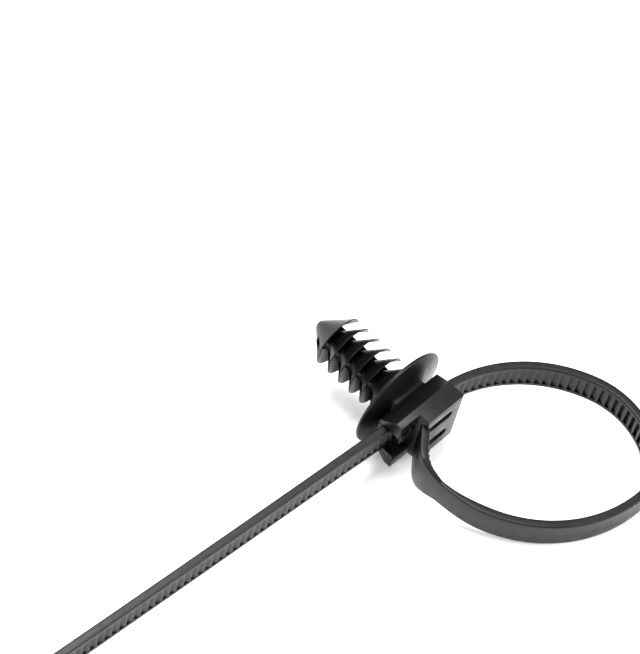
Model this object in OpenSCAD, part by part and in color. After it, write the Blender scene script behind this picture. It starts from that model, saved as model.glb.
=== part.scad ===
// Cable tie with a fir tree foot and a spring disc, moulded as one piece.
// The strap is drawn as it lies: looped once through its own head, tail out to the left.
// Drawn first with +Y along the fir tree, -X along the tail and Z across the strap,
// then turned as one piece so that it lies at rest on its disc, its loop and its tail tip.

/* [Strap] */
// Length of the strap from the head to its tip
strap_length = 172; // [160:1:230]
// Width of the strap
strap_w = 4.6; // [4.2:0.1:5.2]
// Thickness of the strap over its two rails
strap_t = 1.25; // [1.05:0.05:1.4]
// Width of each smooth rail beside the teeth
rail_w = 0.7; // [0.5:0.05:0.9]
// Length of the flat end that has no teeth
plain_end = 28; // [20:1:40]
// Length of the narrowed tip at the end of the strap
tip_length = 7; // [4:0.5:12]
// Width of the strap at its tip
tip_w = 3.2; // [2.6:0.1:4]

/* [Teeth] */
// Distance from one tooth to the next
tooth_pitch = 1.2; // [1:0.05:1.5]
// Height of the teeth above the floor between the rails
tooth_h = 0.45; // [0.3:0.05:0.55]
// Length of the flat crest of a tooth
tooth_crest = 0.25; // [0.1:0.05:0.4]
// How far the crests of the teeth lie below the rails
crest_below = 0.03; // [0.02:0.01:0.1]

/* [Strap root] */
// Width of the strap where it leaves the head
root_w = 7; // [6:0.1:8.4]
// Straight run of the strap as it leaves the head
root_run = 2.8; // [2:0.1:4]
// Bend radius of the strap just after that run, at mid thickness
root_bend_r = 3.4; // [2.6:0.1:4.5]
// Length over which the strap narrows to its full run
root_taper = 5; // [3:0.5:8]
// Number of grip ribs on the inner side of the root
rib_count = 5; // [0:1:6]
// Distance from one grip rib to the next
rib_pitch = 1; // [0.8:0.05:1.1]
// Height of the grip ribs
rib_h = 0.25; // [0.1:0.05:0.35]

/* [Loop] */
// Direction in which the strap leaves the head, in degrees from +X
root_heading = 217; // [212:1:222]
// Turn of the tight bend at the root, in degrees
root_turn = 46; // [40:1:52]
// Radius of the near side of the loop
near_r = 19.8; // [17:0.1:22]
// Turn along the near side, in degrees
near_turn = 92; // [84:1:98]
// Turn round the lower part of the loop's far end, in degrees
end_turn_a = 35; // [30:1:42]
// Radius round the upper part of the loop's far end
end_r = 11.7; // [10:0.1:13]
// Turn round the upper part of the loop's far end, in degrees
end_turn_b = 73; // [66:1:80]
// Slope at which the strap enters the head, in degrees from the slot
slot_tilt = 4; // [3:0.5:5]
// Turn of the strap while it passes through the head, in degrees
slot_turn = 0.5; // [0.5:0.5:2]
// Radius of the slight sweep of the tail
tail_r = 5000; // [2000:100:8000]

/* [Head] */
// Width of the head across the strap, at its wide side
head_w = 10.2; // [9.8:0.1:11]
// Width of the head at the side next to the disc
head_top_w = 6; // [5.8:0.1:7]
// Length of the head along the slot, without its lip
head_length = 10.5; // [10:0.1:11.5]
// How far the head reaches past the fir tree's axis on the entry side
head_entry = 4.4; // [4:0.1:5]
// Depth of the entry half of the head, away from the disc
head_deep = 5.45; // [5.2:0.05:6]
// Depth of the exit half of the head, away from the disc
head_shallow = 3.7; // [3.5:0.05:4.1]
// Length of the shallow exit half
head_exit = 3.6; // [3.3:0.1:4.2]
// Height of the sloping sides next to the disc
head_slope = 2.65; // [2:0.05:2.9]
// How far the lip over the slot's entry leans out beside the disc
entry_lip = 0.8; // [0.3:0.1:1]
// Thickness of the head wall next to the disc
head_wall = 0.45; // [0.4:0.05:0.6]
// Clearance between the strap and the slot on each side
slot_gap = 0.15; // [0.12:0.01:0.22]
// Clear height of the slot for the strap
slot_h = 2.25; // [2.2:0.05:2.4]
// Thickness of the two side plates of the exit half
cheek_t = 1.75; // [1.4:0.05:2]
// Length of the guide lugs inside the cheeks, at the exit
lug_length = 1.1; // [0.7:0.1:1.4]
// Length of the two coring pockets in the deep half
pocket_length = 4.7; // [3:0.1:5]
// Width of each pocket
pocket_w = 1.6; // [1.2:0.1:1.8]
// Wall between a pocket and the step
pocket_wall = 0.5; // [0.4:0.1:1]
// Depth of each pocket
pocket_depth = 1.1; // [0.5:0.1:1.3]
// Distance between the middles of the two pockets
pocket_spacing = 4.6; // [3.6:0.1:5.4]

/* [Pawl] */
// Width of the pawl
pawl_w = 3; // [2.4:0.1:3.1]
// Thickness of the pawl's hinge
pawl_hinge_t = 0.6; // [0.4:0.05:0.8]
// Length of the thick toothed end of the pawl
pawl_end = 1.6; // [1.2:0.1:2]
// Thickness of the thick end of the pawl
pawl_end_t = 1; // [0.8:0.05:1.2]
// Distance from the exit end of the head to the end of the pawl
pawl_setback = 0.5; // [0.3:0.1:0.8]
// Clearance between the pawl and the crests of the strap's teeth
pawl_gap = 0.12; // [0.08:0.01:0.2]

/* [Disc and neck] */
// Diameter of the spring disc
disc_d = 15.9; // [14.5:0.1:17]
// Thickness of the disc at its middle
disc_t = 0.8; // [0.7:0.05:1.1]
// Thickness of the disc at its rim
disc_rim_t = 0.5; // [0.35:0.05:0.6]
// Height of the hollow of the dished disc
disc_dish = 0.85; // [0.6:0.05:1.2]
// Length of the neck block between disc and head, along the slot
neck_length = 5.6; // [4.6:0.1:6.4]
// Width of the neck block across the strap
neck_w = 6; // [5.2:0.1:6.2]
// Distance from the rim of the disc to the head
neck_reach = 2.2; // [2.1:0.05:2.5]

/* [Fir tree] */
// Diameter over the vanes
vane_d = 7.8; // [7.2:0.1:8.4]
// Number of vanes along the fir tree, the tip included
vane_count = 6; // [4:1:6]
// Distance from one vane to the next
vane_pitch = 2.08; // [1.9:0.02:2.2]
// Distance from the rim of the disc to the rim of the vane nearest it
first_vane = 0.7; // [0.5:0.1:1.2]
// Half angle of the conical vanes
vane_angle = 46; // [42:1:50]
// Thickness of a vane at the stem
vane_t = 0.55; // [0.4:0.05:0.7]
// Thickness of a vane at its rim
vane_rim_t = 0.26; // [0.2:0.02:0.4]
// Width of the split between the two wings of each vane
split_w = 1.3; // [1:0.1:1.5]
// Breadth of the flat stem along the slot
stem_length = 3.6; // [3:0.1:4.2]
// Thickness of the flat stem
stem_t = 1.7; // [1.4:0.1:1.8]
// Half angle of the pointed tip
tip_angle = 43; // [38:1:48]
// Radius of the rounded nose of the tip
tip_r = 0.8; // [0.5:0.1:1]
// Depth of the hollow under the tip
tip_hollow = 2.2; // [1.8:0.1:2.4]
// How far the split between the wings runs up into the tip
tip_split = 1.5; // [0.8:0.1:1.7]

/* [Hidden] */
tie_colour = "#2b2b2e";
facet = 0.6;
sink = 0.1;
disc_r = disc_d / 2;
vane_r = vane_d / 2;

// Head, seen from the side: the disc side lies at y = -neck_reach
head_back = -neck_reach;
head_x0 = head_entry - head_length;
step_x = head_x0 + head_exit;
shallow_y = head_back - head_shallow;
deep_y = head_back - head_deep;
slot_top = head_back - head_wall;
slot_w = strap_w + 2 * slot_gap;
cheek_z = head_w / 2 - cheek_t;

// Strap path: the strap leaves the head at the step and comes back in at the slot
root_start = [step_x + 0.3, (shallow_y + deep_y) / 2 - 0.3];
slot_rise = head_length * sin(slot_tilt - slot_turn / 2);
slot_start = [head_entry, slot_top - slot_gap - strap_t / 2 - slot_rise];

function turn_vector(from, to) = [sin(to) - sin(from), cos(from) - cos(to)];
heading_0 = root_heading;
heading_1 = heading_0 + root_turn;
heading_2 = heading_1 + near_turn;
heading_3 = heading_2 + end_turn_a;
heading_4 = heading_3 + end_turn_b;
heading_5 = 540 - slot_tilt;

// Two radii are worked out so that the loop closes on the slot
loop_gap = slot_start - root_start - root_run * [cos(heading_0), sin(heading_0)]
    - root_bend_r * turn_vector(heading_0, heading_1)
    - near_r * turn_vector(heading_1, heading_2)
    - end_r * turn_vector(heading_3, heading_4);
side_a = turn_vector(heading_2, heading_3);
side_b = turn_vector(heading_4, heading_5);
side_det = side_a[0] * side_b[1] - side_a[1] * side_b[0];
end_r_a = (loop_gap[0] * side_b[1] - loop_gap[1] * side_b[0]) / side_det;
far_r = (side_a[0] * loop_gap[1] - side_a[1] * loop_gap[0]) / side_det;

function arc_length(r, turn) = r * turn * PI / 180;
function straight(length) = [0, 0, length];
function bend(r, turn) = [r, turn, arc_length(r, turn)];
function run_of(length, turn) = [length / (turn * PI / 180), turn, length];
taper_turn = root_taper / near_r * 180 / PI;

// Stretches of the strap as [radius, turn, length], a left turn being positive
root_stretches = [straight(root_run), bend(root_bend_r, root_turn)];
taper_stretch = bend(near_r, taper_turn);
loop_stretches = [
    bend(near_r, near_turn - taper_turn),
    bend(end_r_a, end_turn_a),
    bend(end_r, end_turn_b),
    bend(far_r, heading_5 - heading_4)
];
slot_stretch = run_of(head_length, slot_turn);
function total(list, i = 0) = i >= len(list) ? 0 : list[i][2] + total(list, i + 1);
before_tail = total(root_stretches) + root_taper + total(loop_stretches) + head_length;
tail_stretch = run_of(strap_length - before_tail, -(strap_length - before_tail) / tail_r * 180 / PI);
stretches = concat(root_stretches, [taper_stretch], loop_stretches, [slot_stretch, tail_stretch]);
taper_index = len(root_stretches);
tail_index = len(stretches) - 1;

// A place on the path is [x, y, heading, length so far]
function along(place, stretch, part = 1) =
    stretch[0] == 0
    ? [place[0] + part * stretch[2] * cos(place[2]), place[1] + part * stretch[2] * sin(place[2]),
        place[2], place[3] + part * stretch[2]]
    : [place[0] + stretch[0] * (sin(place[2] + part * stretch[1]) - sin(place[2])),
        place[1] - stretch[0] * (cos(place[2] + part * stretch[1]) - cos(place[2])),
        place[2] + part * stretch[1], place[3] + part * stretch[2]];
function chain(place, i) =
    i >= len(stretches) ? [place] : concat([place], chain(along(place, stretches[i]), i + 1));
places = chain([root_start[0], root_start[1], heading_0, 0], 0);
function stretch_at(s, i = 0) = i >= tail_index || s <= places[i + 1][3] ? i : stretch_at(s, i + 1);
function place_at(s) = let (i = stretch_at(s))
    along(places[i], stretches[i], (s - places[i][3]) / stretches[i][2]);
function beside(place, u) = [place[0] - u * sin(place[2]), place[1] + u * cos(place[2])];

// Stations on the path: every one is a corner of the strap's outline
function stations_of(i) = let (n = max(1, ceil(stretches[i][2] / (i == tail_index ? 6 * facet : facet))))
    [for (k = [0 : n - 1]) along(places[i], stretches[i], k / n)];
root_stations = [for (i = [0 : taper_index]) each stations_of(i)];
run_stations = [for (i = [taper_index + 1 : tail_index]) each stations_of(i)];
all_stations = concat(root_stations, run_stations, [places[tail_index + 1]]);
function reversed(list) = [for (i = [len(list) - 1 : -1 : 0]) list[i]];
function band(list, low, high) =
    concat([for (p = list) beside(p, low)], [for (p = reversed(list)) beside(p, high)]);

// Teeth, on the inner side of the strap
inner_face = strap_t / 2;
tooth_floor = inner_face - tooth_h;
teeth_start = places[taper_index + 1][3] + 0.4;
tooth_count = floor((strap_length - plain_end - teeth_start) / tooth_pitch);
teeth_end = teeth_start + tooth_count * tooth_pitch;
groove_end = strap_length - plain_end / 2;
tip_start = strap_length - tip_length;

// Fir tree
vane_rise = vane_r / tan(vane_angle);
top_rim = first_vane + (vane_count - 1) * vane_pitch;

// Resting place: the floor touches the disc's rim, the loop's far side and the tail tip
touch_side = [0.35, 0.94];
function lowest(list, i = 1, best = 0) =
    i >= len(list) ? best : lowest(list, i + 1, list[i] * touch_side < list[best] * touch_side ? i : best);
loop_points = [for (p = run_stations) if (p[3] < before_tail - head_length) beside(p, -inner_face)];
touch_loop = loop_points[lowest(loop_points)];
touch_tail = beside(place_at(tip_start), inner_face);
lean = -(touch_tail[0] - touch_loop[0]) / (touch_tail[1] - touch_loop[1]);
reach = touch_loop[0] + lean * (touch_loop[1] + disc_rim_t);
square_a = disc_r * disc_r - reach * reach;
square_b = -reach * strap_w;
square_c = disc_r * disc_r - strap_w * strap_w / 4;
floor_x = (-square_b + sqrt(square_b * square_b - 4 * square_a * square_c)) / (2 * square_a);
floor_y = lean * floor_x;
rest_roll = -atan(floor_y);
rest_pitch = atan(floor_x * cos(rest_roll));

// Lays a flat shape, drawn along and across the strap, and gives it depth through the strap
module through_strap(place) {
    depth = 4 * strap_t;
    translate([place[0], place[1], 0])
        rotate([0, 0, place[2]])
            translate([0, depth / 2, 0])
                rotate([90, 0, 0])
                    linear_extrude(depth)
                        children();
}

module layer(width) {
    translate([0, 0, -width / 2])
        linear_extrude(width)
            children();
}

// Wide root of the strap, narrowing to the strap's width
module strap_root() {
    wide = root_w / 2;
    narrow = strap_w / 2 - sink;
    half = root_taper / 2;
    start = half + root_bend_r * sin(root_turn);
    slope = (wide - narrow) / (start + half);
    intersection() {
        layer(root_w)
            polygon(band(concat(root_stations, [run_stations[0]]), -inner_face, inner_face));
        through_strap(along(places[taper_index], stretches[taper_index], 0.5))
            polygon([[-3 * root_taper, -wide - sink], [-start - sink / slope, -wide - sink],
                [half, -narrow], [half + 1, -narrow], [half + 1, narrow], [half, narrow],
                [-start - sink / slope, wide + sink], [-3 * root_taper, wide + sink]]);
    }
    grip_ribs();
}

module grip_ribs() {
    rib_base = 0.55 * rib_pitch;
    rib_top = 0.25 * rib_pitch;
    first_rib = root_run - 1;
    if (rib_count > 0)
        for (i = [0 : rib_count - 1]) {
            place = place_at(first_rib + i * rib_pitch);
            translate([place[0], place[1], 0])
                rotate([0, 0, place[2]])
                    layer(root_w - 2 * rail_w)
                        polygon([[-rib_base / 2, inner_face - sink], [rib_base / 2, inner_face - sink],
                            [rib_top / 2, inner_face + rib_h], [-rib_top / 2, inner_face + rib_h]]);
        }
}

module strap_run() {
    difference() {
        layer(strap_w)
            polygon(band(all_stations, -inner_face, inner_face));
        tooth_groove();
        through_strap(place_at(tip_start))
            difference() {
                translate([-1, -strap_w])
                    square([2 * tip_length, 2 * strap_w]);
                tip_outline();
            }
    }
}

module tip_outline() {
    round_r = tip_w / 2;
    straight_end = tip_length - round_r;
    wide = strap_w / 2 + (strap_w / 2 - round_r) / straight_end;
    polygon([[-1, -wide], [straight_end, -round_r], [straight_end, round_r], [-1, wide]]);
    translate([straight_end, 0])
        circle(round_r, $fn = 32);
}

// Groove between the rails with the saw teeth as its floor: steep faces look back to the root
module tooth_groove() {
    crest = inner_face - crest_below;
    rise = 0.04 * tooth_pitch;
    teeth_line = [for (i = [0 : tooth_count - 1], corner = [0 : 2])
        let (s = teeth_start + i * tooth_pitch)
        corner == 0 ? beside(place_at(s), tooth_floor)
        : corner == 1 ? beside(place_at(s + rise), crest)
        : beside(place_at(s + rise + tooth_crest), crest)];
    plain_line = [beside(place_at(teeth_end), tooth_floor), beside(place_at(groove_end), tooth_floor)];
    above = [for (s = [groove_end : -tooth_pitch : teeth_start]) beside(place_at(s), 2 * inner_face)];
    layer(strap_w - 2 * rail_w)
        polygon(concat(teeth_line, plain_line, above, [beside(place_at(teeth_start), 2 * inner_face)]));
}

module head_outline() {
    polygon([[head_x0, head_back], [head_entry + entry_lip, head_back],
        [head_entry, head_back - head_slope], [head_entry, deep_y],
        [step_x, deep_y], [step_x, shallow_y], [head_x0, shallow_y]]);
}

// Cross-section of the head, narrower next to the disc, as [y, z]
module head_section() {
    wide = head_w / 2;
    narrow = head_top_w / 2;
    polygon([[head_back, -narrow], [head_back - head_slope, -wide], [deep_y - 1, -wide],
        [deep_y - 1, wide], [head_back - head_slope, wide], [head_back, narrow]]);
}

module along_x(x, length) {
    translate([x, 0, 0])
        rotate([90, 0, 90])
            linear_extrude(length)
                children();
}

// Small wedge inside a cheek that guides the strap out of the slot
module guide_lug(side) {
    near = slot_w / 2;
    translate([head_x0, 0, side > 0 ? near : -cheek_z - sink])
        linear_extrude(cheek_z - near + sink)
            polygon([[0, slot_top - slot_h / 2 + sink], [lug_length, slot_top - slot_h / 2 + sink],
                [lug_length, shallow_y + 0.4 * head_shallow], [0, shallow_y]]);
}

module pocket() {
    r = pocket_w / 2;
    run = pocket_length - pocket_w;
    rotate([90, 0, 0])
        linear_extrude(pocket_depth + sink) {
            translate([-run / 2, -r])
                square([run, pocket_w]);
            for (x = [-run / 2, run / 2])
                translate([x, 0])
                    circle(r, $fn = 32);
        }
}

module head() {
    pocket_x = step_x + pocket_wall + pocket_length / 2;
    difference() {
        intersection() {
            translate([0, 0, -head_w / 2])
                linear_extrude(head_w)
                    head_outline();
            along_x(head_x0, head_length + entry_lip)
                head_section();
        }
        // Slot for the strap, right through
        along_x(head_x0 - 1, head_length + entry_lip + 2)
            translate([slot_top - slot_h, -slot_w / 2])
                square([slot_h, slot_w]);
        // Open space of the exit half, between the two cheeks
        difference() {
            translate([head_x0 - 1, shallow_y - 1, -cheek_z])
                cube([head_exit + 1, slot_top - slot_h / 2 - shallow_y + 1, 2 * cheek_z]);
            for (side = [-1, 1])
                guide_lug(side);
        }
        for (side = [-1, 1])
            translate([pocket_x, deep_y + pocket_depth, side * pocket_spacing / 2])
                pocket();
    }
    pawl();
}

// Pawl: a thin hinge out of the deep half and a thick toothed end under the strap's teeth
module pawl() {
    end = before_tail - pawl_setback;
    under = inner_face + pawl_gap;
    tooth = pawl_end / 2;
    notch = 0.6 * tooth_h;
    hinge_y = slot_top - slot_h - sink;
    far = beside(place_at(end), under);
    near = beside(place_at(end - pawl_end), under);
    translate([0, 0, -pawl_w / 2])
        linear_extrude(pawl_w)
            polygon([far, beside(place_at(end - tooth), under + notch), beside(place_at(end - tooth), under),
                beside(place_at(end - pawl_end), under + notch), [step_x + sink, hinge_y],
                [step_x + sink, hinge_y - pawl_hinge_t], [near[0], hinge_y - pawl_hinge_t],
                [near[0], near[1] - pawl_end_t], [far[0], far[1] - pawl_end_t]]);
}

// Shapes turned about the fir tree's axis are drawn as [radius, y]
module about_tree() {
    rotate([-90, 0, 0])
        rotate_extrude($fn = 72)
            children();
}

// Circle whose shallow bowl is as deep as given and has its rim at the disc's edge
module bowl(depth, rim_y) {
    r = (disc_r * disc_r + depth * depth) / (2 * depth);
    translate([0, rim_y - depth + r])
        circle(r, $fn = 240);
}

// Spring disc, dished so that its rim presses on the panel
module disc() {
    about_tree()
        intersection() {
            translate([0, -disc_dish - disc_t])
                square([disc_r, 2 * disc_dish + disc_t]);
            difference() {
                bowl(disc_dish + disc_t - disc_rim_t, -disc_rim_t);
                bowl(disc_dish, 0);
            }
        }
}

module neck() {
    translate([-neck_length / 2, head_back - sink, -neck_w / 2])
        cube([neck_length, neck_reach - disc_dish, neck_w]);
}

// Thin conical vane with its rim at rim_y, open towards the disc
module vane(rim_y) {
    apex_y = rim_y + vane_rise;
    polygon([[0, apex_y], [vane_r, rim_y],
        [vane_r - vane_rim_t * cos(vane_angle), rim_y - vane_rim_t * sin(vane_angle)],
        [0, apex_y - vane_t / sin(vane_angle)]]);
}

// Tip with a round nose, hollow below like the vanes
module tree_tip() {
    nose_y = top_rim + vane_r / tan(tip_angle) - tip_r / sin(tip_angle);
    turn = 90 - tip_angle;
    nose = [for (k = [0 : 6]) [tip_r * sin(k * turn / 6), nose_y + tip_r * cos(k * turn / 6)]];
    polygon(concat(nose, [[vane_r, top_rim],
        [vane_r - vane_rim_t * cos(tip_angle), top_rim - vane_rim_t * sin(tip_angle)],
        [0, top_rim + tip_hollow]]));
}

// Vanes in two wings, split along the flat stem's edges
module fir_tree() {
    difference() {
        about_tree() {
            for (i = [0 : vane_count - 2])
                vane(first_vane + i * vane_pitch);
            tree_tip();
        }
        for (x = [-vane_d, stem_length / 2 - sink])
            translate([x, -disc_dish, -split_w / 2])
                cube([vane_d - stem_length / 2 + sink, top_rim + tip_split + disc_dish, split_w]);
    }
    translate([-stem_length / 2, -disc_dish - sink, -stem_t / 2])
        cube([stem_length, top_rim + tip_hollow - 0.3 + disc_dish + sink, stem_t]);
}

module cable_tie() {
    color(tie_colour)
        rotate([0, rest_pitch, 0])
            rotate([rest_roll, 0, 0]) {
                strap_root();
                strap_run();
                head();
                neck();
                disc();
                fir_tree();
            }
}

cable_tie();
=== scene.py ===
"""A looped fir tree cable tie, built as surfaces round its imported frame.

The tie is drawn flat first, with +Y along the fir tree, -X along the tail and Z across the strap.
Then one turn lays it down as it rests: on its disc, on its loop and on the end of its tail.
"""

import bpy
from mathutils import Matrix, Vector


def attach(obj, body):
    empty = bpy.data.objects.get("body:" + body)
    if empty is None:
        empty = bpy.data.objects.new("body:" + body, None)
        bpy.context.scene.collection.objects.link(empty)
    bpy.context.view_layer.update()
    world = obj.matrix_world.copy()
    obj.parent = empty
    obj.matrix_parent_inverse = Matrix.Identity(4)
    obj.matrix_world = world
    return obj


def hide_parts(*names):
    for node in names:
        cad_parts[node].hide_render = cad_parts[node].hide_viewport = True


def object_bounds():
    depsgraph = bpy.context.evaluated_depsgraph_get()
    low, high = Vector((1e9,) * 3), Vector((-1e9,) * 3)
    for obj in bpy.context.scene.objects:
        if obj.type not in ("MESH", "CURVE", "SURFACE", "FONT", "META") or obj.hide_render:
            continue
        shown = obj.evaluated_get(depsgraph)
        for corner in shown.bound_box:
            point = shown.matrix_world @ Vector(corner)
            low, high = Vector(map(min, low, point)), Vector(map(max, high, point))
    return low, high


bl_info = {
    "name": "Fir tree cable tie",
    "version": (1, 0, 0),
    "blender": (4, 5, 0),
    "location": "View3D > Sidebar > Cable tie",
    "description": "Builds a looped cable tie with a fir tree foot, its floor, lights and camera",
    "category": "Add Mesh",
}

import math

import bmesh
import bpy
import numpy as np
from bpy.props import FloatProperty, FloatVectorProperty, IntProperty, PointerProperty
from mathutils import Matrix, Vector

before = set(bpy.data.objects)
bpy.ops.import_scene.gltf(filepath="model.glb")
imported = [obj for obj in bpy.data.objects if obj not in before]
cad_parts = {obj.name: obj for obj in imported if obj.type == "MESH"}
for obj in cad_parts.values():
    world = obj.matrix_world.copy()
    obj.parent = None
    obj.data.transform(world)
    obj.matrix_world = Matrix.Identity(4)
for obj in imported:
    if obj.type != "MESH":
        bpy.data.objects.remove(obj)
CAD_BOX = [list(corner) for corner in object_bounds()]

MM = 0.001
NODE = "cable_tie"
BODY = "root"


def length(name, description, default_mm, low_mm, high_mm):
    """A size property in metres, from a default and limits in millimetres."""
    return FloatProperty(
        name=name,
        description=description,
        default=default_mm * MM,
        min=low_mm * MM,
        max=high_mm * MM,
        unit="LENGTH",
        precision=5,
    )


def angle(name, description, default_deg, low_deg, high_deg):
    """An angle property, from a default and limits in degrees."""
    return FloatProperty(
        name=name,
        description=description,
        default=math.radians(default_deg),
        min=math.radians(low_deg),
        max=math.radians(high_deg),
        subtype="ANGLE",
    )


class StrapSizes(bpy.types.PropertyGroup):
    """Sizes of the strap, its loop and its teeth."""

    strap_length: length("Length", "Length of the strap from head to tip", 172, 160, 230)
    width: length("Width", "Width of the strap", 4.6, 4.2, 5.2)
    thick: length("Thickness", "Thickness over the two rails", 1.25, 1.05, 1.4)
    rail: length("Rail", "Width of each smooth rail beside the teeth", 0.7, 0.5, 0.9)
    edge: length("Edge", "Rounding of the long edges", 0.2, 0.05, 0.25)
    plain_end: length("Plain end", "Length of the end without teeth", 20, 16, 40)
    tip_length: length("Tip length", "Length of the narrowed tip", 7, 4, 12)
    tip_width: length("Tip width", "Width at the tip", 3.2, 2.6, 4)
    tooth_pitch: length("Tooth pitch", "From one tooth to the next", 1.2, 1, 1.5)
    tooth_height: length("Tooth height", "Height of the teeth above their floor", 0.45, 0.3, 0.55)
    tooth_crest: length("Tooth crest", "Length of the flat crest of a tooth", 0.25, 0.1, 0.4)
    root_width: length("Root width", "Width of the strap at the head", 7, 6, 8.4)
    root_run: length("Root run", "Straight run out of the head", 3.4, 2, 4)
    root_bend: length("Root bend", "Bend radius just after that run", 4.3, 2.6, 6)
    wide_run: length("Wide run", "Length of the root before it narrows", 4.9, 3, 7)
    root_taper: length("Root taper", "Length over which the root narrows", 3.9, 2, 8)
    waist: length("Waist", "How much thinner each face of the strap is at the bend", 0.28, 0, 0.35)
    rib_count: IntProperty(name="Ribs", description="Grip ribs inside the root", default=5, min=0, max=6)
    rib_pitch: length("Rib pitch", "From one grip rib to the next", 1, 0.8, 1.1)
    rib_height: length("Rib height", "Height of the grip ribs", 0.25, 0.1, 0.35)
    heading: angle("Heading", "Direction in which the strap leaves the head", 220.4, 212, 226)
    root_turn: angle("Root turn", "Turn of the tight bend at the root", 47.5, 40, 54)
    near_radius: length("Near radius", "Radius of the near side of the loop", 20.3, 17, 24)
    near_turn: angle("Near turn", "Turn along the near side", 91.4, 70, 100)
    end_turn_a: angle("End turn a", "Turn round the lower part of the far end", 36.7, 30, 60)
    end_radius: length("End radius", "Radius round the upper part of the far end", 12.65, 10, 18)
    end_turn_b: angle("End turn b", "Turn round the upper part of the far end", 75.4, 66, 110)
    slot_tilt: angle("Slot tilt", "Slope at which it enters the slot", 4, 3, 5)
    slot_turn: angle("Slot turn", "Turn while it passes through the head", 0.5, 0.5, 2)
    tail_radius: length("Tail radius", "Radius of the slight sweep of the tail", 5000, 2000, 8000)


class HeadSizes(bpy.types.PropertyGroup):
    """Sizes of the head, the pawl, the neck and the disc."""

    width: length("Width", "Width of the head across the strap", 10.2, 9.8, 11)
    top_width: length("Width at the disc", "Width of the side next to the disc", 6, 5.8, 7)
    head_length: length("Length", "Length along the slot", 10.5, 10, 11.5)
    entry: length("Entry", "Reach past the fir tree's axis on the entry side", 4.4, 4, 5)
    deep: length("Deep half", "Depth of the entry half", 5.45, 5.2, 6)
    shallow: length("Shallow half", "Depth of the exit half", 3.7, 3.5, 4.1)
    exit_length: length("Exit", "Length of the shallow exit half", 3.6, 3.3, 4.2)
    slope: length("Slope", "Height of the sloping sides", 2.65, 2, 2.9)
    entry_lip: length("Entry lip", "How far the lip over the slot's entry leans out", 0.8, 0.3, 1)
    wall: length("Wall", "Thickness of the wall next to the disc", 0.45, 0.4, 0.6)
    slot_gap: length("Slot gap", "Clearance of the strap in its slot", 0.15, 0.12, 0.22)
    slot_height: length("Slot height", "Clear height of the slot", 2.25, 2.2, 2.4)
    cheek: length("Cheek", "Thickness of the side plates of the exit half", 1.75, 1.4, 2)
    lug_length: length("Lug length", "Length of the guide lugs inside the cheeks", 1.1, 0.7, 1.4)
    pocket_length: length("Pocket length", "Length of the coring pockets", 4.7, 3, 5)
    pocket_width: length("Pocket width", "Width of each pocket", 1.6, 1.2, 1.8)
    pocket_wall: length("Pocket wall", "Wall between a pocket and the step", 0.5, 0.4, 1)
    pocket_depth: length("Pocket depth", "Depth of each pocket", 1.1, 0.5, 1.3)
    pocket_spacing: length("Pocket spacing", "From one pocket to the other", 4.6, 3.6, 5.4)
    pawl_width: length("Pawl width", "Width of the pawl", 3, 2.4, 3.1)
    pawl_hinge: length("Pawl hinge", "Thickness of the pawl's hinge", 0.6, 0.4, 0.8)
    pawl_end: length("Pawl end", "Length of the pawl's toothed end", 1.6, 1.2, 2)
    pawl_thick: length("Pawl thickness", "Thickness of the pawl's end", 1, 0.8, 1.2)
    pawl_setback: length("Pawl setback", "From the exit to the end of the pawl", 1.5, 0.3, 2)
    pawl_gap: length("Pawl gap", "Clearance under the teeth", 0.12, 0.08, 0.2)
    edge: length("Edge", "Rounding of the head's edges", 0.18, 0.05, 0.4)
    disc_radius: length("Disc radius", "Radius of the spring disc", 7.95, 7.2, 8.5)
    disc_thick: length("Disc thickness", "Thickness at its middle", 0.8, 0.7, 1.1)
    disc_rim: length("Disc rim", "Thickness at its rim", 0.5, 0.35, 0.6)
    disc_dish: length("Disc dish", "Height of its hollow", 0.85, 0.6, 1.2)
    neck_length: length("Neck length", "Length of the neck along the slot", 5.6, 4.6, 6.4)
    neck_width: length("Neck width", "Width of the neck across the strap", 6, 5.2, 6.2)
    neck_reach: length("Neck reach", "From the disc's rim to the head", 2.2, 2.1, 2.5)


class TreeSizes(bpy.types.PropertyGroup):
    """Sizes of the fir tree foot."""

    vane_radius: length("Vane radius", "Radius over the vanes", 4.08, 3.6, 4.3)
    vane_count: IntProperty(name="Vanes", description="Rows of vanes, the tip included", default=6, min=4, max=6)
    vane_pitch: length("Vane pitch", "From one vane to the next", 2.08, 1.9, 2.2)
    first_vane: length("First vane", "From the disc's rim to the nearest vane's rim", 1.02, 0.5, 1.2)
    vane_angle: angle("Vane angle", "Half angle of the conical vanes", 46, 42, 50)
    vane_thick: length("Vane thickness", "Thickness of a vane at the stem", 0.55, 0.4, 0.7)
    vane_rim: length("Vane rim", "Thickness of a vane at its rim", 0.2, 0.15, 0.4)
    split: length("Split", "Width of the split between the two wings at the rims", 2.7, 2, 3)
    stem_length: length("Stem breadth", "Breadth of the flat stem along the slot", 3.6, 3, 4.2)
    stem_thick: length("Stem thickness", "Thickness of the flat stem", 1.7, 1.4, 1.8)
    tip_angle: angle("Tip angle", "Half angle of the pointed tip", 43, 38, 48)
    tip_radius: length("Tip radius", "Radius of its rounded nose", 1.1, 0.5, 1.3)
    tip_hollow: length("Tip hollow", "Depth of the hollow under the tip", 2.2, 1.8, 2.4)
    tip_split: length("Tip split", "How far the split runs up into the tip", 1.9, 0.8, 2)


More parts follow.
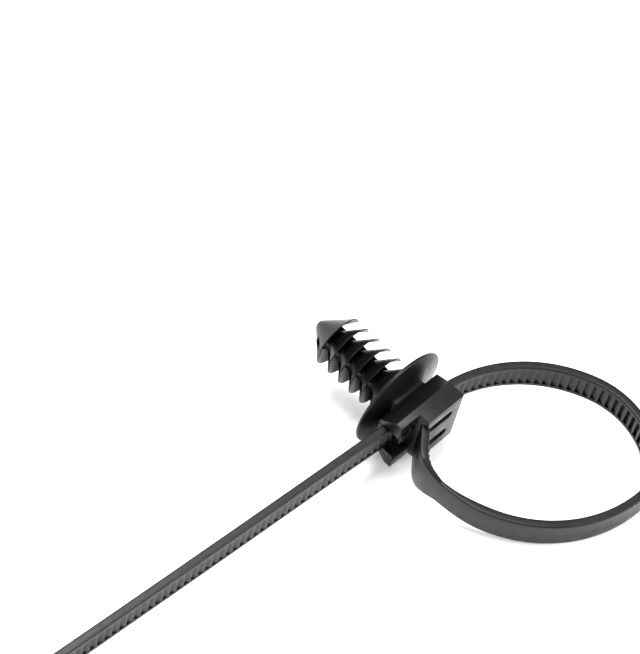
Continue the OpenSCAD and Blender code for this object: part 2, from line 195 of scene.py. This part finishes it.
class LookSettings(bpy.types.PropertyGroup):
    """Colours and light."""

    nylon: FloatVectorProperty(
        name="Nylon",
        description="Colour of the moulded nylon",
        subtype="COLOR",
        size=3,
        default=(0.0028, 0.0028, 0.0031),
        min=0,
        max=1,
    )
    floor: FloatVectorProperty(
        name="Floor",
        description="Colour of the floor",
        subtype="COLOR",
        size=3,
        default=(0.93, 0.93, 0.94),
        min=0,
        max=1,
    )
    roughness: FloatProperty(name="Roughness", description="Roughness of the nylon", default=0.33, min=0, max=1)
    key_power: FloatProperty(name="Key light", description="Strength of the key light", default=1.2, min=0)
    side_power: FloatProperty(name="Side light", description="Strength of the side light", default=1.3, min=0)


# Where the tie rests: the turns about X and then Y that lay it on the floor
REST_ROLL = math.radians(10.9031)
REST_PITCH = math.radians(-4.26507)
REST = Matrix.Rotation(REST_PITCH, 3, "Y") @ Matrix.Rotation(REST_ROLL, 3, "X")


def rested(points):
    """Points drawn in the tie's own axes, turned as the tie rests."""
    return points @ np.array(REST).T


def put_mesh(name, points, faces, smooth_deg=32):
    """A closed mesh from an array of points and a list of face arrays, with outward faces and crisp corners.

    Corners sharper than smooth_deg are shaded sharp.
    """
    mesh = bpy.data.meshes.new(name)
    mesh.from_pydata(rested(points), [], [face for group in faces for face in np.asarray(group).tolist()])
    built = bmesh.new()
    built.from_mesh(mesh)
    bmesh.ops.remove_doubles(built, verts=built.verts, dist=1e-7)
    bmesh.ops.recalc_face_normals(built, faces=built.faces)
    built.to_mesh(mesh)
    built.free()
    mesh.polygons.foreach_set("use_smooth", np.ones(len(mesh.polygons), bool))
    mesh.set_sharp_from_angle(angle=math.radians(smooth_deg))
    piece = bpy.data.objects.new(name, mesh)
    bpy.context.scene.collection.objects.link(piece)
    return piece


def finish_piece(piece, material):
    """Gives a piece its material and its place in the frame."""
    piece.data.materials.append(material)
    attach(piece, BODY)
    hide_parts(NODE)
    return piece


def round_edges(piece, width, segments=3):
    """Rounds a piece's crisp edges with a bevel and applies it."""
    bevel = piece.modifiers.new("round edges", "BEVEL")
    bevel.width = width
    bevel.segments = segments
    bevel.limit_method = "ANGLE"
    bevel.angle_limit = math.radians(25)
    bevel.harden_normals = False
    graph = bpy.context.evaluated_depsgraph_get()
    rounded = bpy.data.meshes.new_from_object(piece.evaluated_get(graph))
    piece.modifiers.clear()
    piece.data = rounded
    rounded.polygons.foreach_set("use_smooth", np.ones(len(rounded.polygons), bool))
    rounded.set_sharp_from_angle(angle=math.radians(40))


def tube_faces(rows, around):
    """Faces of a closed tube of rows by around points, with both ends closed by one face."""
    i = np.arange(rows - 1)[:, None] * around
    j = np.arange(around)[None, :]
    k = (j + 1) % around
    sides = np.stack([i + j, i + k, i + around + k, i + around + j], -1).reshape(-1, 4)
    ends = np.stack([np.arange(around)[::-1], (rows - 1) * around + np.arange(around)])
    return [sides, ends]


def ring_faces(rows, around):
    """Faces of a closed ring: rows go right round, and so do the points of each row."""
    i = np.arange(rows)[:, None]
    j = np.arange(around)[None, :]
    n, k = (i + 1) % rows, (j + 1) % around
    return [np.stack([i * around + j, i * around + k, n * around + k, n * around + j], -1).reshape(-1, 4)]


class StrapPath:
    """The line that the middle of the strap follows: straight runs and arcs, end to end.

    On an arc of radius r the heading grows by length over r, and the place moves by r times the change
    of the heading's sine and of minus its cosine. Two radii are solved so that the loop closes on the slot.
    """

    def __init__(self, strap, head):
        back = -head.neck_reach
        step_x = head.entry - head.head_length + head.exit_length
        into = 3 * math.pi - strap.slot_tilt
        rise = head.head_length * math.sin(strap.slot_tilt - strap.slot_turn / 2)
        slot_y = back - head.wall - head.slot_gap - strap.thick / 2 - rise
        start = np.array([step_x + 0.3 * MM, back - (head.shallow + head.deep) / 2 - 0.3 * MM])
        slot = np.array([head.entry, slot_y])

        def swing(a, b):
            return np.array([math.sin(b) - math.sin(a), math.cos(a) - math.cos(b)])

        turns = [strap.heading, strap.root_turn, strap.near_turn, strap.end_turn_a, strap.end_turn_b]
        h = np.cumsum(turns)
        out = np.array([math.cos(h[0]), math.sin(h[0])])
        gap = slot - start - strap.root_run * out - strap.root_bend * swing(h[0], h[1])
        gap = gap - strap.near_radius * swing(h[1], h[2]) - strap.end_radius * swing(h[3], h[4])
        sides = np.array([swing(h[2], h[3]), swing(h[4], into)]).T
        end_radius, far_radius = np.linalg.solve(sides, gap)
        loop = [
            (0.0, strap.root_run),
            (1 / strap.root_bend, strap.root_bend * strap.root_turn),
            (1 / strap.near_radius, strap.near_radius * strap.near_turn),
            (1 / end_radius, end_radius * strap.end_turn_a),
            (1 / strap.end_radius, strap.end_radius * strap.end_turn_b),
            (1 / far_radius, far_radius * (into - h[4])),
            (strap.slot_turn / head.head_length, head.head_length),
        ]
        self.before_tail = sum(part[1] for part in loop)
        parts = loop + [(-1 / strap.tail_radius, strap.strap_length - self.before_tail)]
        self.curve = np.array([part[0] for part in parts])
        self.start = np.concatenate([[0], np.cumsum([part[1] for part in parts])])
        self.end = self.start[-1]
        x, y, heading = [start[0]], [start[1]], [strap.heading]
        for curve, run in parts:
            dx, dy = self.move(heading[-1], curve, run)
            x.append(x[-1] + dx)
            y.append(y[-1] + dy)
            heading.append(heading[-1] + curve * run)
        self.x, self.y, self.heading = np.array(x), np.array(y), np.array(heading)

    @staticmethod
    def move(heading, curve, run):
        """How far a run goes in x and y from a heading, along an arc of that curvature or straight."""
        bent = np.abs(curve) > 1e-9
        safe = np.where(bent, curve, 1.0)
        turned = heading + curve * run
        dx = np.where(bent, (np.sin(turned) - np.sin(heading)) / safe, run * np.cos(heading))
        dy = np.where(bent, (np.cos(heading) - np.cos(turned)) / safe, run * np.sin(heading))
        return dx, dy

    def at(self, s):
        """Place and heading at each length s along the strap, also a little before its start."""
        s = np.asarray(s, float)
        i = np.clip(np.searchsorted(self.start, s, side="right") - 1, 0, len(self.curve) - 1)
        run = s - self.start[i]
        dx, dy = self.move(self.heading[i], self.curve[i], run)
        return self.x[i] + dx, self.y[i] + dy, self.heading[i] + self.curve[i] * run

    def beside(self, s, u):
        """The point u to the left of the strap's middle line at s, which is the toothed side."""
        x, y, heading = self.at(s)
        return np.stack([x - u * np.sin(heading), y + u * np.cos(heading)], -1)


def tooth_stations(strap, first, last):
    """Lengths along the strap at which a tooth's outline turns, and the tooth's height there from 0 to 1.

    Each tooth rises steeply from its floor, runs flat along its crest and slopes down to the next floor.
    """
    count = int((last - first) / strap.tooth_pitch)
    rise = 0.04 * strap.tooth_pitch
    top = rise + strap.tooth_crest
    steps = np.array([0, rise, top, (top + strap.tooth_pitch) / 2, strap.tooth_pitch - 0.01 * MM])
    heights = np.array([0, 1, 1, 0.5, 0])
    s = first + np.arange(count)[:, None] * strap.tooth_pitch + steps[None, :]
    return s.ravel(), np.tile(heights, count)


def strap_half_section(strap, half, flat, field, rail):
    """One half of the strap's section at every station, as (u, v) with v from the middle outwards.

    It runs along the toothed field, up the rail, round both long edges and back along the smooth face.
    """
    edge = np.minimum(strap.edge, 0.4 * half)
    lip = np.clip((flat - field) / 2, 0, 0.06 * MM)
    turn = np.radians([0, 22, 45, 68, 90])
    points = [(field, 0 * half), (field, half - rail - 0.02 * MM)]
    points += [(flat - lip, half - rail), (flat, half - rail + np.maximum(lip, 0.01 * MM))]
    points += [(flat - edge * (1 - math.cos(t)), half - edge * (1 - math.sin(t))) for t in turn]
    points += [(-flat + edge * (1 - math.sin(t)), half - edge * (1 - math.cos(t))) for t in turn]
    points += [(-flat, 0 * half)]
    u = np.stack([p[0] + 0 * half for p in points], 1)
    v = np.stack([p[1] + 0 * half for p in points], 1)
    return u, v


def strap_points(strap, path):
    """The strap's surface: its section carried along its path, as a grid of stations by section points."""
    taper_end = strap.wide_run + strap.root_taper
    teeth_start = taper_end + 2.4 * MM
    teeth_s, teeth_h = tooth_stations(strap, teeth_start, strap.strap_length - strap.plain_end)
    groove_end = strap.strap_length - strap.plain_end / 2
    round_r = strap.tip_width / 2
    round_start = path.end - round_r
    # Grip ribs: each rises, runs flat and falls
    rib = np.arange(strap.rib_count)[:, None] * strap.rib_pitch + strap.root_run - 1 * MM
    rib_steps = strap.rib_pitch * np.array([-0.275, -0.125, 0.125, 0.275])
    rib_s = (rib + rib_steps).ravel()
    rib_h = np.tile([0, 1, 1, 0], strap.rib_count)
    plain = np.concatenate([
        np.linspace(-0.6 * MM, 0.6 * MM, 3),
        np.linspace(rib_s[-1] + 0.3 * MM, teeth_start - 0.1 * MM, 24),
        np.linspace(teeth_s[-1] + 1 * MM, groove_end - 0.1 * MM, 12),
        np.linspace(groove_end, round_start, 12),
        round_start + round_r * np.sin(np.linspace(0.15, 1.5, 8)),
    ])
    s = np.sort(np.concatenate([plain, teeth_s, rib_s]))
    x, y, heading = path.at(s)
    # The strap is thinner round its tight bend, in a smooth dip on both faces
    dip = 0.5 - 0.5 * np.cos(2 * math.pi * np.clip((s - 2 * MM) / (14 * MM), 0, 1))
    face = strap.thick / 2 - strap.waist * dip
    floor = strap.thick / 2 - strap.tooth_height
    field = face.copy()
    ribbed = (s >= rib_s[0]) & (s <= rib_s[-1]) if len(rib_s) else np.zeros(len(s), bool)
    if len(rib_s):
        field[ribbed] = face[ribbed] + strap.rib_height * np.interp(s[ribbed], rib_s, rib_h)
    toothed = (s >= teeth_s[0]) & (s <= teeth_s[-1])
    crest = strap.tooth_height - 0.03 * MM
    field[toothed] = floor + crest * np.interp(s[toothed], teeth_s, teeth_h)
    field[(s > teeth_s[-1]) & (s < groove_end)] = floor
    half = np.interp(s, [strap.wide_run, taper_end], [strap.root_width / 2, strap.width / 2])
    tip = s > path.end - strap.tip_length
    half[tip] = np.interp(s[tip], [path.end - strap.tip_length, round_start], [strap.width / 2, round_r])
    end = s > round_start
    half[end] = np.sqrt(np.maximum(round_r**2 - (s[end] - round_start) ** 2, (0.08 * MM) ** 2))
    rail = np.minimum(strap.rail, 0.45 * half)
    u, v = strap_half_section(strap, half, face, field, rail)
    u = np.concatenate([u, u[:, -2:0:-1]], 1)
    v = np.concatenate([v, -v[:, -2:0:-1]], 1)
    px = x[:, None] - u * np.sin(heading)[:, None]
    py = y[:, None] + u * np.cos(heading)[:, None]
    return np.stack([px, py, v], -1)


def prism(outline, low, high):
    """A closed prism: a side outline of (x, y) points carried across the strap from low to high."""
    points = np.concatenate([np.column_stack([outline, np.full(len(outline), z)]) for z in (low, high)])
    return points, tube_faces(2, len(outline))


def grid_block(xs, ys, zs, filled, squeeze):
    """A closed block of cells: filled says which cells are solid, and squeeze moves each grid point.

    A face stands wherever a solid cell meets an empty one.
    """
    nx, ny, nz = len(xs), len(ys), len(zs)
    gx, gy, gz = np.meshgrid(xs, ys, zs, indexing="ij")
    points = squeeze(np.stack([gx, gy, gz], -1)).reshape(-1, 3)
    solid = np.pad(filled, 1).astype(int)

    def corner(i, j, k):
        return (i * ny + j) * nz + k

    faces = []
    for axis in range(3):
        change = np.diff(solid, axis=axis)
        cut = [slice(1, -1)] * 3
        cut[axis] = slice(None)
        i, j, k = np.nonzero(change[tuple(cut)])
        step = np.eye(3, dtype=int)
        a, b = step[(axis + 1) % 3], step[(axis + 2) % 3]
        quad = [corner(i, j, k), corner(i + a[0], j + a[1], k + a[2])]
        quad += [corner(i + a[0] + b[0], j + a[1] + b[1], k + a[2] + b[2])]
        quad += [corner(i + b[0], j + b[1], k + b[2])]
        faces.append(np.stack(quad, -1))
    return points, faces


def join_flat(piece):
    """Joins a piece's flat neighbouring faces and drops the points that no face needs."""
    built = bmesh.new()
    built.from_mesh(piece.data)
    loose = [v for v in built.verts if not v.link_faces]
    bmesh.ops.delete(built, geom=loose, context="VERTS")
    bmesh.ops.dissolve_limit(built, angle_limit=0.002, verts=built.verts, edges=built.edges)
    bmesh.ops.recalc_face_normals(built, faces=built.faces)
    built.to_mesh(piece.data)
    built.free()


def round_pockets(piece, level, mid_x, mid_z, radius):
    """Rounds the upright corners of the two pockets, the inner edges that cross the given level."""
    built = bmesh.new()
    built.from_mesh(piece.data)
    back_turn = REST.transposed()
    chosen = []
    for edge in built.edges:
        a, b = (back_turn @ v.co for v in edge.verts)
        upright = (a - b).cross(Vector((0, 1, 0))).length < 1e-7
        near = abs(a.x - mid_x) < 3 * MM and abs(abs(a.z) - mid_z) < 1 * MM
        if upright and near and (a.y - level) * (b.y - level) < 0:
            chosen.append(edge)
    bmesh.ops.bevel(built, geom=chosen, offset=radius, segments=6, profile=0.5, affect="EDGES")
    built.to_mesh(piece.data)
    built.free()


def build_head(head, strap, material):
    """The head: a stepped block with sloping sides, a slot right through, two cheeks and two pockets."""
    back = -head.neck_reach
    x0 = head.entry - head.head_length
    step = x0 + head.exit_length
    slot_top = back - head.wall
    slot_low = slot_top - head.slot_height
    crease = back - head.slope
    shallow, deep = back - head.shallow, back - head.deep
    slot_half = strap.width / 2 + head.slot_gap
    cheek_in = head.width / 2 - head.cheek
    pocket = head.pocket_length / 2
    mid = step + head.pocket_wall + pocket
    inner, outer = (head.pocket_spacing - head.pocket_width) / 2, (head.pocket_spacing + head.pocket_width) / 2
    cavity = slot_top - head.slot_height / 2
    lug = head.lug_length
    xs = np.array([x0, x0 + lug, step, mid - pocket, mid + pocket, head.entry])
    ys = np.array([deep, deep + head.pocket_depth, shallow, slot_low, crease, cavity, slot_top, back])
    half = np.array([inner, slot_half, outer, cheek_in, head.width / 2])
    zs = np.concatenate([-half[::-1], half])
    cx, cy, cz = [(v[:-1] + v[1:]) / 2 for v in (xs, ys, zs)]
    cx, cy, cz = np.meshgrid(cx, cy, np.abs(cz), indexing="ij")
    filled = (cx > step) | (cy > shallow)
    filled &= ~((cy > slot_low) & (cy < slot_top) & (cz < slot_half))
    filled &= ~((cx < step) & (cy < cavity) & (cz < cheek_in))
    filled &= ~((cy < deep + head.pocket_depth) & (np.abs(cx - mid) < pocket) & (cz > inner) & (cz < outer))

    def squeeze(points):
        """From the crease to the disc side, draws the sides in and leans the entry end out."""
        x, y, z = points[..., 0], points[..., 1], points[..., 2]
        share = np.clip((y - crease) / (back - crease), 0, 1)
        points[..., 0] = np.where(x > head.entry - 0.01 * MM, x + head.entry_lip * share, x)
        wide = head.width / 2 + (head.top_width / 2 - head.width / 2) * share
        room = wide / (head.width / 2)
        points[..., 2] = np.where(np.abs(z) > slot_half + 0.01 * MM, z * room, z)
        return points

    points, faces = grid_block(xs, ys, zs, filled, squeeze)
    wedge = np.array([[x0, cavity + 0.1 * MM], [x0 + lug, cavity + 0.1 * MM],
                      [x0 + lug, shallow + 0.4 * head.shallow], [x0, shallow]])
    for low, high in ((slot_half, cheek_in + 0.1 * MM), (-cheek_in - 0.1 * MM, -slot_half)):
        wedge_points, wedge_faces = prism(wedge, low, high)
        faces += [group + len(points) for group in wedge_faces]
        points = np.concatenate([points, wedge_points])
    piece = put_mesh("head", points, faces)
    join_flat(piece)
    round_pockets(piece, deep + head.pocket_depth / 2, mid, (inner + outer) / 2, 0.45 * head.pocket_width)
    round_edges(piece, head.edge)
    return finish_piece(piece, material)


def build_pawl(head, strap, path, material):
    """The pawl: its side outline, hinge at one end and teeth at the other, carried across the strap."""
    end = path.before_tail - head.pawl_setback
    under = strap.thick / 2 + head.pawl_gap
    tooth = head.pawl_end / 2
    notch = 0.6 * strap.tooth_height
    step = head.entry - head.head_length + head.exit_length + 0.1 * MM
    hinge = -head.neck_reach - head.wall - head.slot_height - 0.1 * MM
    far = path.beside(end, under)
    near = path.beside(end - head.pawl_end, under)
    outline = np.array([
        far,
        path.beside(end - tooth, under + notch),
        path.beside(end - tooth, under),
        path.beside(end - head.pawl_end, under + notch),
        [step, hinge],
        [step, hinge - head.pawl_hinge],
        [near[0], hinge - head.pawl_hinge],
        [near[0], near[1] - head.pawl_thick],
        [far[0], far[1] - head.pawl_thick],
    ])
    piece = put_mesh("pawl", *prism(outline, -head.pawl_width / 2, head.pawl_width / 2))
    round_edges(piece, 0.1 * MM, 2)
    return finish_piece(piece, material)


def build_neck(head, material):
    """The neck: an oblong with rounded corners carried from the disc to the head, flaring a little at both ends."""
    low, high = -head.neck_reach - 0.1 * MM, -head.disc_dish - 0.1 * MM
    rows = 13
    share = np.linspace(0, 1, rows)
    y = low + (high - low) * share
    flare = 0.12 * MM * (2 * share - 1) ** 4
    corner_r = 0.2 * MM
    turn = np.radians(np.linspace(0, 90, 5))[None, :] + np.radians([0, 90, 180, 270])[:, None]
    x = (corner_r * np.cos(turn) + (head.neck_length / 2 - corner_r) * np.array([1, -1, -1, 1])[:, None]).ravel()
    z = (corner_r * np.sin(turn) + (head.neck_width / 2 - corner_r) * np.array([1, 1, -1, -1])[:, None]).ravel()
    x = x[None, :] + flare[:, None] * np.sign(x)[None, :]
    z = z[None, :] + flare[:, None] * np.sign(z)[None, :]
    points = np.stack([x, np.repeat(y[:, None], x.shape[1], 1), z], -1)
    piece = put_mesh("neck", points.reshape(-1, 3), tube_faces(rows, x.shape[1]))
    return finish_piece(piece, material)


def turned(profile, around):
    """A closed profile of (radius, y) points carried round the fir tree's axis."""
    turn = np.linspace(0, 2 * math.pi, around, endpoint=False)
    r, y = profile[:, 0], profile[:, 1]
    grid = [r[None, :] * np.cos(turn)[:, None], np.repeat(y[None, :], around, 0), r[None, :] * np.sin(turn)[:, None]]
    return np.stack(grid, -1).reshape(-1, 3), ring_faces(around, len(profile))


def build_disc(head, material):
    """The spring disc: two shallow bowls, whose heights grow with the square of the radius, and a round rim."""
    r = head.disc_radius
    rim = head.disc_rim / 2
    a = np.linspace(0.004 * MM, r - rim, 28)
    b = np.linspace(r - rim, 0.004 * MM, 28)
    front = -head.disc_dish * (1 - (a / r) ** 2)
    depth = head.disc_dish + head.disc_thick - head.disc_rim
    back = -head.disc_rim - depth * (1 - (b / r) ** 2)
    mid_y = (front[-1] + back[0]) / 2
    half = (front[-1] - back[0]) / 2
    turn = np.radians(np.linspace(75, -75, 7))
    edge = np.stack([r - rim + rim * np.cos(turn), mid_y + half * np.sin(turn)], -1)
    profile = np.concatenate([np.stack([a, front], -1), edge, np.stack([b, back], -1)])
    piece = put_mesh("spring_disc", *turned(profile, 128), smooth_deg=50)
    return finish_piece(piece, material)


def wing_points(profile, split, side, around=40):
    """Half a vane: each profile point swings round the axis only as far as the split.

    The split is given as pairs of radius and half width, and is as wide as the stem where the wing meets it.
    """
    r, y = profile[:, 0], profile[:, 1]
    edge_z = np.interp(r, *split)
    first = np.arcsin(np.clip(edge_z / r, 0, 1))
    share = np.linspace(0, 1, around)[:, None]
    turn = first + share * (math.pi - 2 * first)
    return np.stack([r * np.cos(turn), y + 0 * turn, side * r * np.sin(turn)], -1).reshape(-1, 3)


def build_fir_tree(tree, head, material):
    """The fir tree: a flat stem, rows of split conical vanes and a pointed tip with a round nose."""
    r = tree.vane_radius
    slope, tip_slope = tree.vane_angle, tree.tip_angle
    rise = r / math.tan(slope)
    top_rim = tree.first_vane + (tree.vane_count - 1) * tree.vane_pitch
    stem_z = tree.stem_thick / 2 - 0.05 * MM
    split = ([tree.stem_length / 2, 0.75 * r], [stem_z, tree.split / 2])
    inner_r = stem_z + 0.05 * MM
    all_points, all_faces, start = [], [], 0

    def add(points, faces):
        nonlocal start
        all_points.append(points)
        all_faces.extend(np.asarray(group) + start for group in faces)
        start += len(points)

    def sheet(rim_y, inner_top, half_angle, from_r):
        """A vane's closed profile: outer cone, rounded rim and inner cone."""
        out_r = np.linspace(from_r, r, 7)
        outer = np.stack([out_r, rim_y + (r - out_r) / math.tan(half_angle)], -1)
        rim_r, rim_y2 = r - tree.vane_rim * math.cos(half_angle), rim_y - tree.vane_rim * math.sin(half_angle)
        middle = np.array([[(r + rim_r) / 2 + 0.04 * MM, (rim_y + rim_y2) / 2 - 0.03 * MM]])
        in_r = np.linspace(rim_r, from_r, 7)
        inner = np.stack([in_r, inner_top + (rim_y2 - inner_top) * in_r / rim_r], -1)
        return np.concatenate([outer, middle, inner])

    split_top = top_rim + tree.tip_split
    skirt_r = r - tree.tip_split * math.tan(tip_slope)
    vane_top = rise - tree.vane_thick / math.sin(slope)
    rims = tree.first_vane + tree.vane_pitch * np.arange(tree.vane_count - 1)
    sheets = [sheet(y, y + vane_top, slope, inner_r) for y in rims]
    sheets.append(sheet(top_rim, top_rim + tree.tip_hollow, tip_slope, skirt_r - 0.05 * MM))
    for profile in sheets:
        for side in (-1, 1):
            add(wing_points(profile, split, side), tube_faces(40, len(profile)))
    nose_y = top_rim + r / math.tan(tip_slope) - tree.tip_radius / math.sin(tip_slope)
    turn = np.linspace(0.02, math.pi / 2 - tip_slope, 7)
    nose = np.stack([tree.tip_radius * np.sin(turn), nose_y + tree.tip_radius * np.cos(turn)], -1)
    rim = np.array([[skirt_r, split_top], [0.01 * MM, split_top]])
    add(*turned(np.concatenate([nose, rim]), 80))
    stem_top = top_rim + tree.tip_hollow - 0.3 * MM
    half_x, half_z, soft = tree.stem_length / 2, tree.stem_thick / 2, 0.12 * MM
    corner = np.array([[half_x - soft, half_z], [half_x, half_z - soft]])
    outline = np.concatenate([corner, (corner * [1, -1])[::-1], -corner, (corner * [-1, 1])[::-1]])
    levels = np.array([-head.disc_dish - 0.1 * MM, stem_top])
    stem = np.concatenate([np.insert(outline, 1, y, axis=1) for y in levels])
    add(stem, tube_faces(2, len(outline)))
    piece = put_mesh("fir_tree", np.concatenate(all_points), all_faces, smooth_deg=40)
    return finish_piece(piece, material)


def new_node(nodes, kind, values=(), **settings):
    """A shader node with its settings and socket values."""
    node = nodes.new(kind)
    for key, value in settings.items():
        setattr(node, key, value)
    for socket, value in dict(values).items():
        node.inputs[socket].default_value = value
    return node


def nylon_material(look):
    """Moulded black nylon: faint clouding of its shade, soft flow marks in its gloss and a fine mould grain."""
    material = bpy.data.materials.get("black nylon")
    if material:
        return material
    material = bpy.data.materials.new("black nylon")
    material.use_nodes = True
    nodes, links = material.node_tree.nodes, material.node_tree.links
    nodes.clear()
    out = nodes.new("ShaderNodeOutputMaterial")
    shader = new_node(nodes, "ShaderNodeBsdfPrincipled", {"IOR": 1.5, "Specular IOR Level": 0.2})
    place = nodes.new("ShaderNodeTexCoord")
    cloud = new_node(nodes, "ShaderNodeTexNoise", {"Scale": 260.0, "Detail": 4.0, "Roughness": 0.6})
    shade = nodes.new("ShaderNodeValToRGB")
    base = np.array(look.nylon)
    shade.color_ramp.elements[0].position = 0.3
    shade.color_ramp.elements[0].color = (*(base * 0.8), 1)
    shade.color_ramp.elements[1].position = 0.75
    shade.color_ramp.elements[1].color = (*(base * 1.25), 1)
    flow = new_node(nodes, "ShaderNodeTexNoise", {"Scale": 700.0, "Detail": 3.0, "Distortion": 0.4})
    gloss = new_node(nodes, "ShaderNodeMapRange", {
        "From Min": 0.3, "From Max": 0.7, "To Min": look.roughness - 0.05, "To Max": look.roughness + 0.07})
    grain = new_node(nodes, "ShaderNodeTexNoise", {"Scale": 9000.0, "Detail": 2.0})
    bump = new_node(nodes, "ShaderNodeBump", {"Strength": 0.12, "Distance": 0.00003})
    for texture in (cloud, flow, grain):
        links.new(place.outputs["Object"], texture.inputs["Vector"])
    links.new(cloud.outputs["Fac"], shade.inputs["Fac"])
    links.new(shade.outputs["Color"], shader.inputs["Base Color"])
    links.new(flow.outputs["Fac"], gloss.inputs["Value"])
    links.new(gloss.outputs["Result"], shader.inputs["Roughness"])
    links.new(grain.outputs["Fac"], bump.inputs["Height"])
    links.new(bump.outputs["Normal"], shader.inputs["Normal"])
    links.new(shader.outputs["BSDF"], out.inputs["Surface"])
    return material


def floor_material(look):
    """A pale matt floor with the faintest clouding."""
    material = bpy.data.materials.new("pale floor")
    material.use_nodes = True
    nodes, links = material.node_tree.nodes, material.node_tree.links
    shader = nodes["Principled BSDF"]
    shader.inputs["Roughness"].default_value = 0.9
    place = nodes.new("ShaderNodeTexCoord")
    cloud = new_node(nodes, "ShaderNodeTexNoise", {"Scale": 6.0, "Detail": 2.0})
    shade = nodes.new("ShaderNodeValToRGB")
    base = np.array(look.floor)
    shade.color_ramp.elements[0].color = (*(base * 0.99), 1)
    shade.color_ramp.elements[1].color = (*base, 1)
    links.new(place.outputs["Object"], cloud.inputs["Vector"])
    links.new(cloud.outputs["Fac"], shade.inputs["Fac"])
    links.new(shade.outputs["Color"], shader.inputs["Base Color"])
    return material


def add_light(name, place, aim, size, power):
    """A square soft light at a place, turned to its aim."""
    light = bpy.data.lights.new(name, "AREA")
    light.shape = "SQUARE"
    light.size = size
    light.energy = power
    lamp = bpy.data.objects.new(name, light)
    lamp.location = place
    lamp.rotation_euler = (Vector(aim) - Vector(place)).to_track_quat("-Z", "Y").to_euler()
    bpy.context.scene.collection.objects.link(lamp)
    return lamp


# The camera, in the tie's own axes: its place in millimetres, and its right, up and backward directions
CAMERA_PLACE = (-177.48, -97.48, 315.17)
CAMERA_RIGHT = (0.7007, -0.6985, 0.1455)
CAMERA_UP = (0.5384, 0.6515, 0.5345)
CAMERA_BACK = (-0.4681, -0.2961, 0.8326)
CAMERA_LENS = 149.98


def place_camera():
    """The camera at the photograph's viewing angle, turned with the tie as it rests."""
    camera = bpy.data.cameras.new("camera")
    camera.lens = CAMERA_LENS
    camera.sensor_width = 36
    camera.clip_start, camera.clip_end = 0.01, 10
    holder = bpy.data.objects.new("camera", camera)
    turn = REST @ Matrix([CAMERA_RIGHT, CAMERA_UP, CAMERA_BACK]).transposed()
    holder.matrix_world = Matrix.Translation(REST @ (Vector(CAMERA_PLACE) * MM)) @ turn.to_4x4()
    bpy.context.scene.collection.objects.link(holder)
    bpy.context.scene.camera = holder


class TIE_OT_strap(bpy.types.Operator):
    """Builds the toothed strap along its looped path"""

    bl_idname = "tie.strap"
    bl_label = "Strap"

    def execute(self, context):
        strap, head = context.scene.tie_strap, context.scene.tie_head
        points = strap_points(strap, StrapPath(strap, head))
        rows, around = points.shape[:2]
        piece = put_mesh("strap", points.reshape(-1, 3), tube_faces(rows, around))
        finish_piece(piece, nylon_material(context.scene.tie_look))
        return {"FINISHED"}


class TIE_OT_head(bpy.types.Operator):
    """Builds the head, its pawl and the neck under the disc"""

    bl_idname = "tie.head"
    bl_label = "Head, pawl and neck"

    def execute(self, context):
        strap, head = context.scene.tie_strap, context.scene.tie_head
        nylon = nylon_material(context.scene.tie_look)
        build_head(head, strap, nylon)
        build_pawl(head, strap, StrapPath(strap, head), nylon)
        build_neck(head, nylon)
        return {"FINISHED"}


class TIE_OT_foot(bpy.types.Operator):
    """Builds the spring disc and the fir tree"""

    bl_idname = "tie.foot"
    bl_label = "Disc and fir tree"

    def execute(self, context):
        nylon = nylon_material(context.scene.tie_look)
        build_disc(context.scene.tie_head, nylon)
        build_fir_tree(context.scene.tie_tree, context.scene.tie_head, nylon)
        return {"FINISHED"}


class TIE_OT_stage(bpy.types.Operator):
    """Builds the floor, the lights and the camera"""

    bl_idname = "tie.stage"
    bl_label = "Floor, lights and camera"

    def execute(self, context):
        look = context.scene.tie_look
        level = CAD_BOX[0][2]
        reach = 3.0
        corners = [(-reach, -reach, level), (reach, -reach, level), (reach, reach, level), (-reach, reach, level)]
        mesh = bpy.data.meshes.new("floor")
        mesh.from_pydata(corners, [], [(0, 1, 2, 3)])
        mesh.materials.append(floor_material(look))
        floor = bpy.data.objects.new("floor", mesh)
        context.scene.collection.objects.link(floor)
        middle = (-0.01, -0.01, 0.0)
        add_light("key light", (0.0, 0.12, 1.0), middle, 0.45, 13 * look.key_power)
        add_light("side light", (0.3, -0.85, 0.45), middle, 0.6, 8 * look.side_power)
        world = bpy.data.worlds.new("studio")
        world.use_nodes = True
        backdrop = world.node_tree.nodes["Background"]
        backdrop.inputs["Color"].default_value = (1, 1, 1, 1)
        backdrop.inputs["Strength"].default_value = 1.25
        context.scene.world = world
        context.scene.view_settings.view_transform = "Standard"
        place_camera()
        return {"FINISHED"}


class TIE_PT_panel(bpy.types.Panel):
    """Lists the tie's sizes and the buttons that build it"""

    bl_idname = "TIE_PT_panel"
    bl_label = "Cable tie"
    bl_space_type = "VIEW_3D"
    bl_region_type = "UI"
    bl_category = "Cable tie"

    def draw(self, context):
        for operator in OPERATORS:
            self.layout.operator(operator.bl_idname)
        for name in GROUPS:
            box = self.layout.box()
            group = getattr(context.scene, name)
            for key in group.bl_rna.properties.keys():
                if key not in ("rna_type", "name"):
                    box.prop(group, key)


GROUPS = {"tie_strap": StrapSizes, "tie_head": HeadSizes, "tie_tree": TreeSizes, "tie_look": LookSettings}
OPERATORS = (TIE_OT_strap, TIE_OT_head, TIE_OT_foot, TIE_OT_stage)
CLASSES = (*GROUPS.values(), *OPERATORS, TIE_PT_panel)


def register():
    """Registers the sizes, the operators and the panel."""
    for made in CLASSES:
        bpy.utils.register_class(made)
    for name, group in GROUPS.items():
        setattr(bpy.types.Scene, name, PointerProperty(type=group))


def unregister():
    """Takes them away again."""
    for name in GROUPS:
        delattr(bpy.types.Scene, name)
    for made in reversed(CLASSES):
        bpy.utils.unregister_class(made)


def main():
    """Builds the tie and its stage."""
    register()
    bpy.ops.tie.strap()
    bpy.ops.tie.head()
    bpy.ops.tie.foot()
    bpy.ops.tie.stage()


if __name__ == "__main__":
    main()
